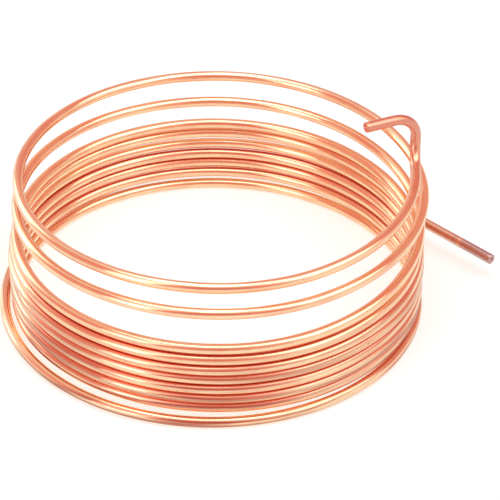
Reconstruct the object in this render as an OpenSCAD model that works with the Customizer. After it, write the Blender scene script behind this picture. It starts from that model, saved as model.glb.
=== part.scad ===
// Small coil of soft copper tube, wound from one length.
// The turns lie stacked on the floor, the last two have sprung open,
// the top end is bent up and inwards, and the bottom end runs off as a tail.

/* [Tube] */
// Outside diameter of the tube
tube_od = 3.175; // [2:0.005:5]
// Diameter of the passage through the tube
tube_bore = 1.65; // [0.5:0.05:1.9]

/* [Stacked turns] */
// Radius of the stacked turns, to the middle of the tube
coil_r = 59.8; // [40:0.1:90]
// Change of radius of each half turn of the stack, from the bottom up
stack_radius = [-0.2, -0.2, 0, 0.1, 0.1, -0.1, -0.2, 0.2, 0.3, 0, -0.2]; // [-2:0.1:2]
// Extra radius of the bottom turn, where it first meets the floor
bottom_flare = 2; // [0:0.1:6]
// Sideways step from the bottom turn to the stack above it
stack_step = 1.6; // [0:0.1:4]
// Open gap between neighbouring turns at the front
front_gap = 0.1; // [0.05:0.05:2]
// Open gaps between neighbouring turns at the back, from the bottom up
back_gaps = [1.2, 0.5, 0.3, 0.1, 1.1, 0.7]; // [0.05:0.05:4]

/* [Sprung turns] */
// Open gaps under the sprung turns at the front, from the lower up
sprung_front = [7.4, 2.6]; // [0.05:0.05:15]
// Open gaps under the sprung turns at the back, from the lower up
sprung_back = [4.1, 4]; // [0.05:0.05:15]
// Change of radius of each of the last half turns, from the lower up
sprung_radius = [-0.6, -0.9, -0.2, -1.2, 0.6, -1.4]; // [-5:0.1:5]

/* [Top end] */
// Radius of the last quarter turn
end_r = 57.6; // [30:0.1:90]
// Height gained over the last quarter turn
end_rise = 2.6; // [0:0.1:12]
// Radius of the bend that turns the end upwards
riser_r = 7.2; // [5:0.1:20]
// Radius of the bend that turns the end inwards
hook_r = 7.3; // [3:0.1:12]
// Direction of the hook, forwards of straight across the coil
hook_angle = 25; // [-30:1:60]
// Straight length of the hook
hook_length = 9.5; // [5:0.5:30]

/* [Tail] */
// Open gap between the bottom turn and the turn beside it, at the left
side_gap = 0.3; // [0.05:0.05:3]
// Extra radius of the tail's first quarter turn, from the left round to the back
tail_spread = 5.2; // [2.2:0.1:40]
// Radius of the tail's last bend, behind the coil
tail_out_r = 70; // [40:0.5:120]
// Height of the straight tail over the bottom turn
tail_lift = 5.4; // [0:0.1:12]
// Straight length of the tail
tail_length = 45; // [20:0.5:100]

/* [Hidden] */
copper = "#e39a70";
stacked_gaps = [for (g = back_gaps) front_gap];
front_gaps = concat([front_gap], stacked_gaps, sprung_front);
rear_gaps = concat(back_gaps, sprung_back);
half_turns = 2 * len(front_gaps);
radius_changes = concat([0], stack_radius, sprung_radius);
bottom_r = coil_r + bottom_flare;
// the bottom turn passes outside the next one at the left
outer_r = half_r(1) - stack_step + tube_od + side_gap;
// and swings wide of the stack on its way to the back
tail_r = coil_r + tail_spread;
section_facets = 48;
turn_facets = 180;

function sum(v, n) = n == 0 ? 0 : v[n - 1] + sum(v, n - 1);
// Height of a strand over the bottom one, at the front or at the back
function stacked(gaps, k) = k * tube_od + sum(gaps, k);
// Joints between half turns lie in turn at the front and at the back
function level(j) = j % 2 == 0 ? stacked(front_gaps, j / 2) : stacked(rear_gaps, (j - 1) / 2);
function half_r(j) = coil_r + radius_changes[j];
function tilt(j) = j == 0 ? 0 : asin((level(j + 1) - level(j)) / (2 * half_r(j)));

// A small angle, moved to the nearest one whose cosine has six decimals,
// so that neighbouring bends meet edge to edge
function settled(a) = sign(a) * acos(round(cos(a) * 1e6) / 1e6);

// A run of tube is a list of bends [radius, angle, roll] and straights [length].
// The roll turns the bend about the tube's own line before it starts.
winding = concat(
    [[bottom_r, 90, 0], [bottom_r - stack_step, 90, 0]],
    [for (j = [1 : half_turns - 1]) [half_r(j), 180, settled(tilt(j - 1) + tilt(j))]],
    [[end_r, 90, settled(tilt(half_turns - 1) + asin(end_rise / end_r))]],
    [[riser_r, 90, 90], [hook_r, 90, hook_angle - 90], [hook_length]]);

tail_climb = settled(asin(tail_lift / (tail_r + tail_out_r * tan(22.5))));
tail = [
    [outer_r, 90, 0],
    [tail_r, 90, tail_climb],
    [tail_out_r, 45, settled(-asin(tan(tail_climb)))],
    [tail_length]];

module tube_section() {
    difference() {
        circle(d = tube_od, $fn = section_facets);
        circle(d = tube_bore, $fn = section_facets);
    }
}

module bend(r, angle) {
    translate([-r, 0, 0])
        rotate_extrude(angle = angle, $fn = turn_facets)
            translate([r, 0])
                tube_section();
}

module straight(length) {
    rotate([-90, 0, 0])
        linear_extrude(length)
            tube_section();
}

// Lays the pieces of a run end to end, each starting where the last one stopped
module run(path, i = 0) {
    piece = path[i];
    if (len(piece) == 1) {
        straight(piece[0]);
    } else {
        rotate([0, piece[2], 0]) {
            bend(piece[0], piece[1]);
            translate([-piece[0], 0, 0])
                rotate([0, 0, piece[1]])
                    translate([piece[0], 0, 0])
                        run(path, i + 1);
        }
    }
}

module copper_tube() {
    color(copper)
        translate([0, -bottom_r, tube_od / 2])
            rotate([0, 0, -90]) {
                run(winding);
                mirror([0, 1, 0])
                    run(tail);
            }
}

copper_tube();
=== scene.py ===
# %% [markdown]
# A coil of soft copper tube, as it comes off the shelf: one length of thin tube, wound by hand
# into a close stack, with the last turns sprung open and both cut ends left bare.
# The imported model is loaded first. It is the fixed frame: every piece that is made here has to
# lie where that model lies, in metres.

# %% Load the imported model
import math

import bpy
import numpy as np
from mathutils import Matrix, Vector


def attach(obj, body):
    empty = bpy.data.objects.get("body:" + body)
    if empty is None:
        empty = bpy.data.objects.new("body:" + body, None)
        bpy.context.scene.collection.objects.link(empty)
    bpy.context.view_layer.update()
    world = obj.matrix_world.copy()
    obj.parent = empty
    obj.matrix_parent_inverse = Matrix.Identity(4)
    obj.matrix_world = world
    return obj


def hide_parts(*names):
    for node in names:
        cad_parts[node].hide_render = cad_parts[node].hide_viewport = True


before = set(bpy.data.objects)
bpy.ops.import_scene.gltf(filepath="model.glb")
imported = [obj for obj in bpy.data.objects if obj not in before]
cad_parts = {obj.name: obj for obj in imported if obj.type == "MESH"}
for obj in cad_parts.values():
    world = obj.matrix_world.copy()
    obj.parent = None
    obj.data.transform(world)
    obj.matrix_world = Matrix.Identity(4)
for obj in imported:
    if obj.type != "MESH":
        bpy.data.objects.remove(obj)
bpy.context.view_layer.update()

MM = 0.001
scene = bpy.context.scene
print("nodes", sorted(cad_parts))

# %% [markdown]
# The camera comes before the looks, because it decides what shows. The photograph is a square
# picture, taken from in front and above with a long lens, so the far side of the coil is nearly
# as large as the near side. A camera can be aimed with a constraint, but a matrix made from the
# viewing direction is exact, and it also holds the small lean of the picture.

# %% Camera
PICTURE = 500
FOCAL_PIXELS = 2290.2
SENSOR_WIDTH = 36
NEAREST_SEEN = 10 * MM
VIEW_DOWN = math.radians(34.78)
LEAN = math.radians(1.2)
AIM = Vector((11.45, -2.6, 19.08)) * MM
DISTANCE = 675.8 * MM

forward = Vector((0, math.cos(VIEW_DOWN), -math.sin(VIEW_DOWN)))
level_right = Vector((1, 0, 0))
level_up = level_right.cross(forward)
right = math.cos(LEAN) * level_right + math.sin(LEAN) * level_up
up = right.cross(forward)

lens = bpy.data.cameras.new("camera")
lens.sensor_width = SENSOR_WIDTH
lens.lens = SENSOR_WIDTH * FOCAL_PIXELS / PICTURE
lens.clip_start = NEAREST_SEEN
camera = bpy.data.objects.new("camera", lens)
turned = Matrix((right, up, -forward)).transposed().to_4x4()
camera.matrix_world = Matrix.Translation(AIM - DISTANCE * forward) @ turned
scene.collection.objects.link(camera)
scene.camera = camera
print("camera at", [round(c / MM, 1) for c in camera.location], "mm, lens", round(lens.lens, 1), "mm")

# %% [markdown]
# The tube's route is the one that a bender would follow: a list of bends, each with a radius, an
# angle and a roll of the tube before the bend starts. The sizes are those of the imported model,
# in millimetres. Half turns meet at the front and at the back of the coil, so the heights of the
# strands there give the tilt of every half turn. A free curve through many points would also
# work, but bends keep every turn truly round.

# %% Sizes of the tube and its turns
TUBE_OD = 3.175
TUBE_BORE = 1.65

COIL_R = 59.8
STACK_RADIUS = [-0.2, -0.2, 0, 0.1, 0.1, -0.1, -0.2, 0.2, 0.3, 0, -0.2]
BOTTOM_FLARE = 2
STACK_STEP = 1.6
FRONT_GAP = 0.1
BACK_GAPS = [1.2, 0.5, 0.3, 0.1, 1.1, 0.7]
SPRUNG_FRONT = [7.4, 2.6]
SPRUNG_BACK = [4.1, 4]
SPRUNG_RADIUS = [-0.6, -0.9, -0.2, -1.2, 0.6, -1.4]

END_R = 57.6
END_RISE = 2.6
RISER_R = 7.2
HOOK_R = 7.3
HOOK_ANGLE = math.radians(25)
HOOK_LENGTH = 9.5

SIDE_GAP = 0.3
TAIL_R = 65
TAIL_OUT_R = 70
TAIL_LIFT = 5.4
TAIL_LENGTH = 45
print("tube of", TUBE_OD, "mm, coil of", 2 * COIL_R + TUBE_OD, "mm across")

# %% Heights, radii and tilts of the half turns
front_gaps = [FRONT_GAP] + [FRONT_GAP] * len(BACK_GAPS) + SPRUNG_FRONT
rear_gaps = BACK_GAPS + SPRUNG_BACK
half_turns = 2 * len(front_gaps)
radius_changes = [0] + STACK_RADIUS + SPRUNG_RADIUS


def level(joint):
    """Height of a joint over the bottom strand: tube diameters plus the gaps below it."""
    gaps = rear_gaps if joint % 2 else front_gaps
    below = joint // 2
    return below * TUBE_OD + sum(gaps[:below])


def half_radius(half):
    """Radius of a half turn: the coil's, changed a little from turn to turn."""
    return COIL_R + radius_changes[half]


def tilt(half):
    """Slope of a half turn: its rise over its width. The bottom one lies flat."""
    if half == 0:
        return 0
    return math.asin((level(half + 1) - level(half)) / (2 * half_radius(half)))


print(half_turns, "half turns, the last one ends", round(level(half_turns), 2), "mm up")

# %% Bends of the winding and of the tail
QUARTER = math.pi / 2

bottom_r = COIL_R + BOTTOM_FLARE
winding = [(bottom_r, QUARTER, 0), (bottom_r - STACK_STEP, QUARTER, 0)]
winding += [(half_radius(j), 2 * QUARTER, tilt(j - 1) + tilt(j)) for j in range(1, half_turns)]
winding += [
    (END_R, QUARTER, tilt(half_turns - 1) + math.asin(END_RISE / END_R)),
    (RISER_R, QUARTER, QUARTER),
    (HOOK_R, QUARTER, HOOK_ANGLE - QUARTER),
    (HOOK_LENGTH,),
]

outer_r = half_radius(1) - STACK_STEP + TUBE_OD + SIDE_GAP
# The tail climbs in its second bend and levels out in its third. Both add to its lift.
tail_climb = math.asin(TAIL_LIFT / (TAIL_R + TAIL_OUT_R * math.tan(QUARTER / 4)))
tail = [
    (outer_r, QUARTER, 0),
    (TAIL_R, QUARTER, tail_climb),
    (TAIL_OUT_R, QUARTER / 2, -math.asin(math.tan(tail_climb))),
    (TAIL_LENGTH,),
]
print(len(winding), "pieces in the winding,", len(tail), "in the tail")

# %% [markdown]
# Each piece of the route is laid at the end of the one before. Inside a piece all rings are
# worked out at once as arrays. The roll between two pieces would twist the skin, so the angle
# round the tube is carried on: a line drawn along the tube before winding stays one line.

# %% Turns of the local axes


def turn_about_line(angle):
    """Rotation about the tube's own line, the local Y axis."""
    c, s = math.cos(angle), math.sin(angle)
    return np.array([[c, 0, s], [0, 1, 0], [-s, 0, c]])


def turn_in_plane(angle):
    """Rotation in the plane of a bend, about the local Z axis."""
    c, s = math.cos(angle), math.sin(angle)
    return np.array([[c, -s, 0], [s, c, 0], [0, 0, 1]])


heading = turn_in_plane(-QUARTER)
print("the tube sets out towards", heading[:, 1].round(6).tolist())

# %% Rings along the route
RING_SPACING = 1.5
RING_TURN = math.radians(5)


def rings_along(path, axes, start):
    """Centres, two section directions, curvature and skin angle of the rings along a run.

    A bend of radius r puts its centre line at (r cos f - r, r sin f, 0) for f from 0 to its angle,
    a straight at (0, s, 0), both in the local axes. The section's directions are the bend's own
    radius (cos f, sin f, 0) and its axis (0, 0, 1). A roll adds to the skin angle.
    """
    parts = []
    rolled = 0
    for piece in path:
        if len(piece) == 1:
            s = np.linspace(0, piece[0], math.ceil(piece[0] / RING_SPACING) + 1)
            f = np.zeros_like(s)
            local = np.stack([f, s, f], axis=1)
            bending = 0
        else:
            radius, angle, roll = piece
            axes = axes @ turn_about_line(roll)
            rolled += roll
            count = max(radius * angle / RING_SPACING, angle / RING_TURN)
            f = np.linspace(0, angle, math.ceil(count) + 1)
            local = np.stack([radius * np.cos(f) - radius, radius * np.sin(f), 0 * f], axis=1)
            bending = 1 / radius
        across = np.stack([np.cos(f), np.sin(f), 0 * f], axis=1) @ axes.T
        along_axis = np.broadcast_to(axes[:, 2], across.shape)
        centres = start + local @ axes.T
        first = 1 if parts else 0
        extra = np.stack([np.full(len(f), bending), np.full(len(f), rolled)], axis=1)
        parts.append(np.concatenate([centres, across, along_axis, extra], axis=1)[first:])
        start = centres[-1]
        axes = axes @ turn_in_plane(f[-1])
    return np.concatenate(parts)


meeting = np.array([0, -bottom_r, TUBE_OD / 2])
mirrored = heading @ np.diag([1, -1, 1])
wound = rings_along(winding, heading, meeting)
tailed = rings_along(tail, mirrored, meeting)
route = np.concatenate([tailed[:0:-1], wound])

centre, radial, axial = route[:, 0:3], route[:, 3:6], route[:, 6:9]
curvature, skin_angle = route[:, 9], route[:, 10]
steps = np.linalg.norm(np.diff(centre, axis=0), axis=1)
run_length = np.concatenate([[0], np.cumsum(steps)])
print(len(route), "rings,", round(run_length[-1] / 1000, 3), "m of tube")

# %% [markdown]
# The tube's wall is a profile carried along the route: out of the bore, over the cut face, round
# the rim, along the outside, and back through the bore, so that one closed skin makes the whole
# tube. A drawn tube isn't a perfect cylinder. Tight bends flatten it a little, and winding by
# hand leaves faint waves, which make the highlights swim along a real coil. Both are far smaller
# than the gaps between the turns. The saw leaves a square end with its burr broken off.

# %% Stations of the profile
SIDES = 28
BORE_STRIDE = 4
RIM_ROUND = 0.16
RIM_STEPS = 4

last = len(route) - 1
turn = np.linspace(0, QUARTER, RIM_STEPS + 1)
rim_set_back = RIM_ROUND * (1 - np.sin(turn))
rim_radius = TUBE_OD / 2 - RIM_ROUND * (1 - np.cos(turn))
bore_rows = np.concatenate([[last], np.arange(last - BORE_STRIDE, 0, -BORE_STRIDE), [0]])

rim = np.zeros(RIM_STEPS + 1, int)
outside = np.arange(1, last)
rows = np.concatenate([rim, outside, rim + last, bore_rows])
set_back = np.concatenate([rim_set_back[::-1], 0 * outside, -rim_set_back, 0 * bore_rows])
wall = 0 * outside + TUBE_OD / 2
bore = 0 * bore_rows + TUBE_BORE / 2
base_radius = np.concatenate([rim_radius[::-1], wall, rim_radius, bore])
on_outside = np.arange(len(rows)) < len(rows) - len(bore_rows)
print(len(rows), "stations,", len(bore_rows), "of them in the bore")

# %% Radius of the skin
BEND_FLATTENING = 0.35
MOST_FLATTENING = 0.05
WAVE_HEIGHT = 0.018
WAVE_LENGTHS = [23.0, 37.0, 61.0]

around = 2 * math.pi * np.arange(SIDES) / SIDES
skin = around[None, :] + skin_angle[rows][:, None]
travel = run_length[rows] + set_back


def skin_radius():
    """Radius at each station and angle: r - r k cos^2 a - h sum (1 + cos(2 pi s / wave + m b)) / 2.

    k is the flattening of the bend, and a the angle from the bend's radius. h is the height of the
    hand-wound waves, s the place along the tube, and b the angle round it before winding. The bore
    keeps its radius.
    """
    k = np.minimum(BEND_FLATTENING * curvature[rows] * TUBE_OD / 4, MOST_FLATTENING)
    off = TUBE_OD / 2 * k[:, None] * np.cos(skin) ** 2
    for i, wave in enumerate(WAVE_LENGTHS):
        off = off + WAVE_HEIGHT * (1 + np.cos(2 * math.pi * travel[:, None] / wave + (i + 1) * around)) / 2
    return base_radius[:, None] - np.where(on_outside[:, None], off, 0)


radius = skin_radius()
furthest_in = (base_radius[:, None] - radius).max()
print("the skin lies at most", round(furthest_in, 3), "mm inside a true cylinder")

# %% Points and faces of the skin


def skin_points():
    """Points of the skin: centre + r (cos a * bend radius direction + sin a * bend axis direction)."""
    end_direction = np.where((rows == 0)[:, None], centre[1] - centre[0], centre[last] - centre[last - 1])
    end_direction = end_direction / np.linalg.norm(end_direction, axis=1, keepdims=True)
    middle = centre[rows] + set_back[:, None] * end_direction
    out = np.cos(skin)[..., None] * radial[rows][:, None] + np.sin(skin)[..., None] * axial[rows][:, None]
    return middle[:, None] + radius[..., None] * out


points = skin_points().reshape(-1, 3) * MM
length_along = np.broadcast_to(travel[:, None], radius.shape)
before_winding = [length_along, radius * np.cos(around), radius * np.sin(around)]
straight = np.stack(before_winding, axis=-1).reshape(-1, 3)

station = np.arange(len(rows))[:, None]
side = np.arange(SIDES)[None, :]
next_station = (station + 1) % len(rows)
next_side = (side + 1) % SIDES
here = station * SIDES
ahead = next_station * SIDES
ring_corners = [here + side, ahead + side, ahead + next_side, here + next_side]
quads = np.stack(ring_corners, axis=-1).reshape(-1, 4)
print(len(points), "points,", 2 * len(quads), "triangles")

# %% [markdown]
# Where two turns nearly touch, light is trapped, so the seams of a coil look deep red, and that shade
# is painted into their colour here. How deep a point lies in a seam follows from the open gap to the
# nearest other strand. A search tree could find that strand, but blocks of distances, worked out as
# whole arrays, are short to write and quick enough. The outer side of the lower turns is kept as well.
# It has the brownest film, which also paints in the darker reflections of these turns.

# %% Seams between the turns
# Lengths are in millimetres, and a block is a number of stations.
SEAM_FULL = 0.5
SEAM_REACH = 1.2
OWN_STRAND = 40.0
BLOCK = 128


def seam_share():
    """How much each point belongs to a seam: one up to a gap of SEAM_FULL, nought from SEAM_REACH on.

    The gap is the distance to the nearest ring centre of another strand, less half the tube. Rings
    up to OWN_STRAND away along the tube belong to the same strand and don't count. The distances
    come from |p - c|^2 = |p|^2 + |c|^2 - 2 p.c.
    """
    share = np.ones(radius.shape, np.float32)
    spots = (points / MM).reshape(*radius.shape, 3).astype(np.float32)
    middles = centre.astype(np.float32)
    squares = (middles ** 2).sum(axis=1)
    outside_rows = np.count_nonzero(on_outside)
    for row in range(0, outside_rows, BLOCK):
        block = slice(row, min(row + BLOCK, outside_rows))
        away = (spots[block] ** 2).sum(axis=2)[..., None] + squares - 2 * spots[block] @ middles.T
        own = np.abs(travel[block, None] - run_length) < OWN_STRAND
        nearest = np.where(own[:, None, :], np.inf, away).min(axis=2)
        gap = np.sqrt(np.maximum(nearest, 0)) - TUBE_OD / 2
        share[block] = np.clip((SEAM_REACH - gap) / (SEAM_REACH - SEAM_FULL), 0, 1)
    return share.ravel()


# the seam share is where the copper is painted a deeper red, as shade between the turns
seam = seam_share()
print(round(100 * (seam > 0).mean()), "percent of the points lie in or near a seam")

# %% Outer side of the lower turns
# Along the tube from the tip of the tail, in mm: the film and its painted dark reflection are full up to
# here, and gone from there on.
FILM_AND_REFLECTION_FULL, FILM_AND_REFLECTION_ENDS = 700, 2700

lower = np.clip((FILM_AND_REFLECTION_ENDS - travel) / (FILM_AND_REFLECTION_ENDS - FILM_AND_REFLECTION_FULL), 0, 1)
outer = (lower[:, None] * np.clip(np.cos(skin), 0, 1)).ravel().astype(np.float32)
print(round(100 * (outer > 0).mean()), "percent of the points can have a film")

# %% [markdown]
# The mesh also carries values for the finish. The attribute "straight" says where each point was
# before winding, in millimetres, so that marks left by the drawing die run along the tube and have
# no seam. The attributes "seam" and "outer" are the shares just found. The UV map cuts the unrolled
# skin into strips of one size and lays them side by side, which keeps the whole 3.8 metres at one
# scale when the finish is baked to a picture.

# %% Strips of the unrolled skin
STRIPS = 20
STRIP_MARGIN = 0.04


def strip_map():
    """UV of each quad corner: u along the strip, v = (strip + share of the way round) / strips.

    Strips come one after the other along the outside. The bore takes one strip of its own.
    """
    strip_length = run_length[-1] / STRIPS
    strip = np.minimum(travel // strip_length, STRIPS - 1)
    strip = np.where(on_outside, strip, STRIPS)
    span = np.where(on_outside, strip_length, run_length[-1])
    begin = np.where(on_outside, strip * strip_length, 0)
    reach = travel[next_station[:, 0]]
    u = np.stack([travel - begin, reach - begin, reach - begin, travel - begin], axis=1) / span[:, None]
    v = np.stack([side, side, side + 1, side + 1], axis=-1)[0] / SIDES
    inset = STRIP_MARGIN + (1 - 2 * STRIP_MARGIN) * v
    rise = (strip[:, None, None] + inset[None]) / (STRIPS + 1)
    run = np.broadcast_to(np.clip(u, 0, 1)[:, None, :], rise.shape)
    return np.stack([run, rise], axis=-1).reshape(-1, 2)


unrolled = strip_map()
print(STRIPS + 1, "strips, from", unrolled.min(axis=0).round(3), "to", unrolled.max(axis=0).round(3))

# %% Mesh of the tube


def tube_mesh():
    """Mesh from the arrays of points and quads, smooth all over but at the cut faces."""
    mesh = bpy.data.meshes.new("copper_tube_skin")
    mesh.from_pydata(points.tolist(), [], quads.tolist())
    mesh.uv_layers.new(name="OFBake").data.foreach_set("uv", unrolled.ravel())
    mesh.attributes.new("straight", "FLOAT_VECTOR", "POINT").data.foreach_set("vector", straight.ravel())
    mesh.attributes.new("seam", "FLOAT", "POINT").data.foreach_set("value", seam)
    mesh.attributes.new("outer", "FLOAT", "POINT").data.foreach_set("value", outer)
    cut_faces = [len(rows) - len(bore_rows) - 1, len(rows) - 1]
    smooth = np.repeat(~np.isin(station[:, 0], cut_faces), SIDES)
    mesh.polygons.foreach_set("use_smooth", smooth)
    mesh.update()
    return mesh


mesh = tube_mesh()
tube = bpy.data.objects.new("copper_tube_wall", mesh)
scene.collection.objects.link(tube)

# Each face closes a small pyramid with the origin. Their volumes add up to the metal's.
a, b, c, d = points[quads.T]
pyramids = (a * (np.cross(b, c) + np.cross(c, d))).sum(axis=1) / 6
volume = pyramids.sum()
CM3 = (10 * MM) ** 3
print("metal volume", round(volume / CM3, 2), "cm3, skin turned", "out" if volume > 0 else "in")

# %% [markdown]
# The finish is bright drawn copper. The die leaves the tube smooth and shiny, with hair-fine lines
# and wider streaks along it. Handling leaves dull patches and small specks, and the lowest turns have
# brown streaks of film on their outer side, which also paint in the darker reflections of these turns.
# The hook is redder and duller than the rest, its red partly tarnish and partly a painted reflection.
# The tail darkens towards its tip, past a pale ring. Copper colours what it mirrors, so light that has
# bounced between two turns comes back red, and the seams are the deepest red of all; their colour is
# painted a deeper red as well, as shade. All this could be painted on a picture, but noises that follow
# the tube stay sharp at any distance.
# Nodes are added by one small function, and colours are written as they look on a screen.

# %% Helpers for finishes
WHITE = "#ffffff"


def linear(code):
    """Linear colour of an sRGB hex code."""
    s = np.array([int(code[i:i + 2], 16) for i in (1, 3, 5)]) / 255
    flat = np.where(s <= 0.04045, s / 12.92, ((s + 0.055) / 1.055) ** 2.4)
    return (*flat.tolist(), 1.0)


def add(tree, kind, inputs=None, **settings):
    """Adds a node with its settings. An input is a value, or the socket that it is linked to."""
    made = tree.nodes.new(kind)
    for name, value in settings.items():
        setattr(made, name, value)
    for name, value in (inputs or {}).items():
        if isinstance(value, bpy.types.NodeSocket):
            tree.links.new(value, made.inputs[name])
        else:
            made.inputs[name].default_value = value
    return made


print("white is", linear(WHITE))

# %% Marks on the copper
# Each mark: its length along the tube and its width in mm, the detail of its noise, the noise where
# it starts and where it is full, and how strongly it shows then.
# Real die lines are some 0.05 mm wide. They are drawn coarser here, so that they show.
MARKS = {
    "die_lines": (60, 0.35, 3, 0.5, 0.7, 0.5),
    "streaks": (45, 1.3, 4, 0.5, 0.75, 0.7),
    "patches": (16, 16, 3, 0.45, 0.7, 1.0),
    # film streaks, which also paint dark reflections on the lower turns
    "film_and_dark_reflection": (45, 1.4, 4, 0.42, 0.56, 1.0),
    "grains": (0.35, 0.35, 2, 0.65, 0.71, 1.0),
    "grain_groups": (9, 9, 2, 0.48, 0.63, 1.0),
}
# Each darkening of an end: how far from that end it starts and is full, in mm, and its share then.
# At the tail it is tarnish. At the hook it is tarnish and also a painted reflection of the dim room.
TAIL_FADES = {"tail": (40, 10, 1.0), "tip": (16, 8, 1.0)}
HOOK_FADES = {"hook": (46, 22, 0.8)}
RING_PLACE = 12.5
RING_WIDTH = 1.8
RING_SHARE = 0.9


def copper_marks(tree):
    """Noises and shares of the marks, from each point's place before winding, its seam and its side.

    A share rises evenly from nought, where its noise or its distance from an end says that the mark
    starts, to its strength, where the mark is full. The ring's share falls off on both sides of it.
    """
    place = add(tree, "ShaderNodeAttribute", attribute_name="straight").outputs["Vector"]
    noises = {}
    shares = {}
    for name in ("seam", "outer"):
        shares[name] = add(tree, "ShaderNodeAttribute", attribute_name=name).outputs["Fac"]
    for mark, (long, wide, detail, start, full, strength) in MARKS.items():
        size = {"Vector": place, "Scale": (1 / long, 1 / wide, 1 / wide)}
        spot = add(tree, "ShaderNodeMapping", size).outputs["Vector"]
        grain = {"Vector": spot, "Scale": 1, "Detail": detail}
        noises[mark] = add(tree, "ShaderNodeTexNoise", grain).outputs["Fac"]
        rise = {"Value": noises[mark], "From Min": start, "From Max": full, "To Max": strength}
        shares[mark] = add(tree, "ShaderNodeMapRange", rise).outputs[0]

    along = add(tree, "ShaderNodeSeparateXYZ", {0: place}).outputs["X"]
    end = float(run_length[-1])
    fades = dict(TAIL_FADES)
    for name, (start, full, share) in HOOK_FADES.items():
        fades[name] = (end - start, end - full, share)
    for name, (start, full, share) in fades.items():
        fade = {"Value": along, "From Min": start, "From Max": full, "To Max": share}
        shares[name] = add(tree, "ShaderNodeMapRange", fade).outputs[0]
    off = add(tree, "ShaderNodeMath", {0: along, 1: RING_PLACE}, operation="SUBTRACT").outputs[0]
    away = add(tree, "ShaderNodeMath", {0: off}, operation="ABSOLUTE").outputs[0]
    ring = {"Value": away, "From Min": RING_WIDTH / 2, "From Max": 0.0, "To Max": RING_SHARE}
    shares["ring"] = add(tree, "ShaderNodeMapRange", ring).outputs[0]

    pairs = {
        "worn": ("die_lines", "streaks", "MAXIMUM"),
        # the film is kept to the outer side of the lower turns, where it also paints dark reflections
        "film_and_dark_reflection": ("film_and_dark_reflection", "outer", "MULTIPLY"),
        "specks": ("grains", "grain_groups", "MULTIPLY"),
    }
    for name, (one, other, way) in pairs.items():
        both = {0: shares[one], 1: shares[other]}
        shares[name] = add(tree, "ShaderNodeMath", both, operation=way).outputs[0]
    return noises, shares


print(len(MARKS), "noises,", len(TAIL_FADES) + len(HOOK_FADES), "tarnishes and a ring")

# %% Bright drawn copper
BRIGHT = "#fcd6ad"
LAYERS = {
    "patches": "#f8bd99",
    "worn": "#e8957a",
    # the film colour also stands for painted dark reflections on the lower turns
    "film_and_dark_reflection": "#b8705f",
    # the seam colour is painted shade: the deep red between nearly touching turns
    "seam": "#ea967e",
    "tail": "#dcaa9c",
    "tip": "#c29c97",
    "ring": "#f6bd9c",
    # the hook's redder colour is partly tarnish and partly a painted reflection of the dim room
    "hook": "#dd8874",
    "specks": "#6b3a2c",
}
SMOOTH, LINED = 0.05, 0.13
LINES_START, LINES_FULL = 0.3, 0.7
DULLING = {"patches": 0.06, "seam": 0.15, "tail": 0.14, "hook": 0.25}
LINE_RELIEF = 0.3
LINE_DEPTH = 0.02


def bright_drawn_copper():
    """Metal whose colour and shine change in layers, each mixed in by the share of its mark.

    A Mix node's colours go into its inputs 6 and 7 and come out of its output 2.
    """
    finish = bpy.data.materials.new("bright_drawn_copper")
    finish.use_nodes = True
    tree = finish.node_tree
    tree.nodes.clear()
    noises, shares = copper_marks(tree)

    colour = linear(BRIGHT)
    for mark, shade in LAYERS.items():
        layer = {0: shares[mark], 6: colour, 7: linear(shade)}
        colour = add(tree, "ShaderNodeMix", layer, data_type="RGBA").outputs[2]

    lined = {"From Min": LINES_START, "From Max": LINES_FULL, "To Min": SMOOTH, "To Max": LINED}
    lined["Value"] = noises["die_lines"]
    rough = add(tree, "ShaderNodeMapRange", lined).outputs[0]
    for mark, extra in DULLING.items():
        duller = {0: shares[mark], 1: extra, 2: rough}
        rough = add(tree, "ShaderNodeMath", duller, operation="MULTIPLY_ADD").outputs[0]

    lines = {"Height": noises["die_lines"], "Strength": LINE_RELIEF, "Distance": LINE_DEPTH * MM}
    relief = add(tree, "ShaderNodeBump", lines).outputs["Normal"]
    metal = {"Base Color": colour, "Metallic": 1.0, "Roughness": rough, "Normal": relief}
    shader = add(tree, "ShaderNodeBsdfPrincipled", metal)
    add(tree, "ShaderNodeOutputMaterial", {"Surface": shader.outputs[0]})
    return finish


copper = bright_drawn_copper()
mesh.materials.append(copper)
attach(tube, "root")
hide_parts("copper_tube")
print("finish", copper.name, "with", len(copper.node_tree.nodes), "nodes")

# %% [markdown]
# The studio is high-key: a white sheet on the floor, a white room, and soft boxes that show in the
# metal as cream bands. Between the boxes the room is dimmer and warmer, most of all on the side
# where the camera stands, and these dim sides give every tube its salmon bands. The room's picture
# in the metal could come from a photograph of a studio, but a few directions say it in less.
# The sheet glows, as if lit from below by a warm lamp, and its own paint is a cool blue. Together
# they are white, and where the coil keeps off the light from above, more of the glow is left and the
# shadow is a soft peach. Glow and room are seen at a strength of one, so no lamp has to be turned up.

# %% White floor
FLOOR_SIZE = 8.0
FLOOR_PAINT = "#89c4da"
FLOOR_GLOW = "#f0d7c8"


def seen_rays(tree):
    """One for rays from the camera, off a shiny surface or through glass, nought for the rest."""
    path = add(tree, "ShaderNodeLightPath").outputs
    share = path["Is Camera Ray"]
    for kind in ("Is Glossy Ray", "Is Transmission Ray"):
        share = add(tree, "ShaderNodeMath", {0: share, 1: path[kind]}, operation="MAXIMUM").outputs[0]
    return share


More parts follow.
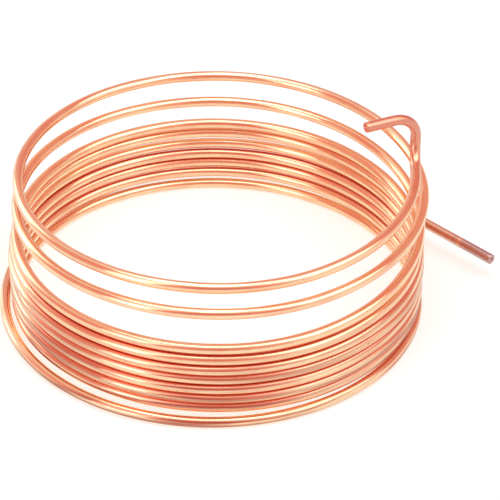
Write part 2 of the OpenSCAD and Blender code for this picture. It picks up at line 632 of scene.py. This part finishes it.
def white_floor():
    """Matt sheet that keeps its shadows: what its paint lacks of white is added where it is seen."""
    finish = bpy.data.materials.new("white_floor")
    finish.use_nodes = True
    tree = finish.node_tree
    tree.nodes.clear()
    paint = add(tree, "ShaderNodeBsdfDiffuse", {"Color": linear(FLOOR_PAINT)})
    glow = add(tree, "ShaderNodeEmission", {"Color": linear(FLOOR_GLOW), "Strength": seen_rays(tree)})
    both = add(tree, "ShaderNodeAddShader", {0: paint.outputs[0], 1: glow.outputs[0]})
    add(tree, "ShaderNodeOutputMaterial", {"Surface": both.outputs[0]})
    return finish


edge = FLOOR_SIZE / 2
floor_mesh = bpy.data.meshes.new("floor")
corners = [(-edge, -edge, 0), (edge, -edge, 0), (edge, edge, 0), (-edge, edge, 0)]
floor_mesh.from_pydata(corners, [], [(0, 1, 2, 3)])
floor_mesh.materials.append(white_floor())
floor = bpy.data.objects.new("floor", floor_mesh)
scene.collection.objects.link(floor)
print("floor of", FLOOR_SIZE, "m")

# %% White room
ROOM_LIGHT = 0.2
# Each dim side of the room: its direction, the cosines where it starts and is full, its colour
DIM_SIDES = [
    (Vector((0, -0.966, 0.259)), 0.66, 0.92, "#f5b3ae"),
    (Vector((0, -0.9, 0.43)), 0.92, 0.98, "#e29b94"),
    (Vector((-0.816, -0.071, 0.574)), 0.76, 0.95, "#f3aea6"),
    (Vector((-0.188, 0.886, 0.423)), 0.88, 0.98, "#f6cfcd"),
    (Vector((0.545, 0.65, 0.53)), 0.7, 0.92, "#edaca6"),
]


def white_room():
    """World that is white where it is seen, dimmer on some sides, and weaker as a lamp."""
    room = bpy.data.worlds.new("white_room")
    room.use_nodes = True
    tree = room.node_tree
    tree.nodes.clear()
    direction = add(tree, "ShaderNodeTexCoord").outputs["Generated"]
    walls = linear(WHITE)
    for towards, start, full, colour in DIM_SIDES:
        facing = {0: direction, 1: towards.normalized()}
        cosine = add(tree, "ShaderNodeVectorMath", facing, operation="DOT_PRODUCT").outputs["Value"]
        fall = {"Value": cosine, "From Min": start, "From Max": full}
        share = add(tree, "ShaderNodeMapRange", fall, interpolation_type="SMOOTHSTEP").outputs[0]
        dimmed = {0: share, 6: walls, 7: linear(colour)}
        walls = add(tree, "ShaderNodeMix", dimmed, data_type="RGBA").outputs[2]
    seen = add(tree, "ShaderNodeBackground", {"Color": walls, "Strength": 1.0})
    lamp = add(tree, "ShaderNodeBackground", {"Color": linear(WHITE), "Strength": ROOM_LIGHT})
    mixed = add(tree, "ShaderNodeMixShader", {0: seen_rays(tree), 1: lamp.outputs[0], 2: seen.outputs[0]})
    add(tree, "ShaderNodeOutputWorld", {"Surface": mixed.outputs[0]})
    return room


scene.world = white_room()
scene.view_settings.view_transform = "Standard"
print("room with", len(DIM_SIDES), "dim sides")

# %% Soft boxes
# Each soft box: its place, its width and height, all in metres, and its brightness
BOXES = {
    "softbox_above": ((-0.05, -0.05, 1.0), (0.7, 0.65), 2.0),
    "softbox_right_above": ((0.57, -0.14, 0.81), (0.78, 0.6), 1.6),
    "softbox_front_left": ((-0.61, -0.65, 0.45), (0.5, 0.95), 0.9),
    "softbox_front_left_core": ((-0.64, -0.71, 0.27), (0.26, 0.4), 1.7),
    "softbox_back_left": ((-0.77, 0.54, 0.34), (0.55, 0.75), 1.0),
    "softbox_back_left_core": ((-0.86, 0.46, 0.16), (0.25, 0.3), 1.5),
}


def softbox(name, place, size, brightness):
    """Rectangular lamp aimed at the coil. Its power is brightness times pi times its area."""
    lamp = bpy.data.lights.new(name, "AREA")
    lamp.shape = "RECTANGLE"
    lamp.size, lamp.size_y = size
    lamp.energy = brightness * math.pi * size[0] * size[1]
    box = bpy.data.objects.new(name, lamp)
    box.location = place
    box.rotation_euler = (AIM - box.location).to_track_quat("-Z", "Y").to_euler()
    box.visible_camera = False
    scene.collection.objects.link(box)
    return box


for name, (place, size, brightness) in BOXES.items():
    made = softbox(name, Vector(place), size, brightness)
    print(name, round(made.data.energy, 2), "W")

# %% [markdown]
# Last, the scene is brought up to date.

# %% Update of the scene
bpy.context.view_layer.update()
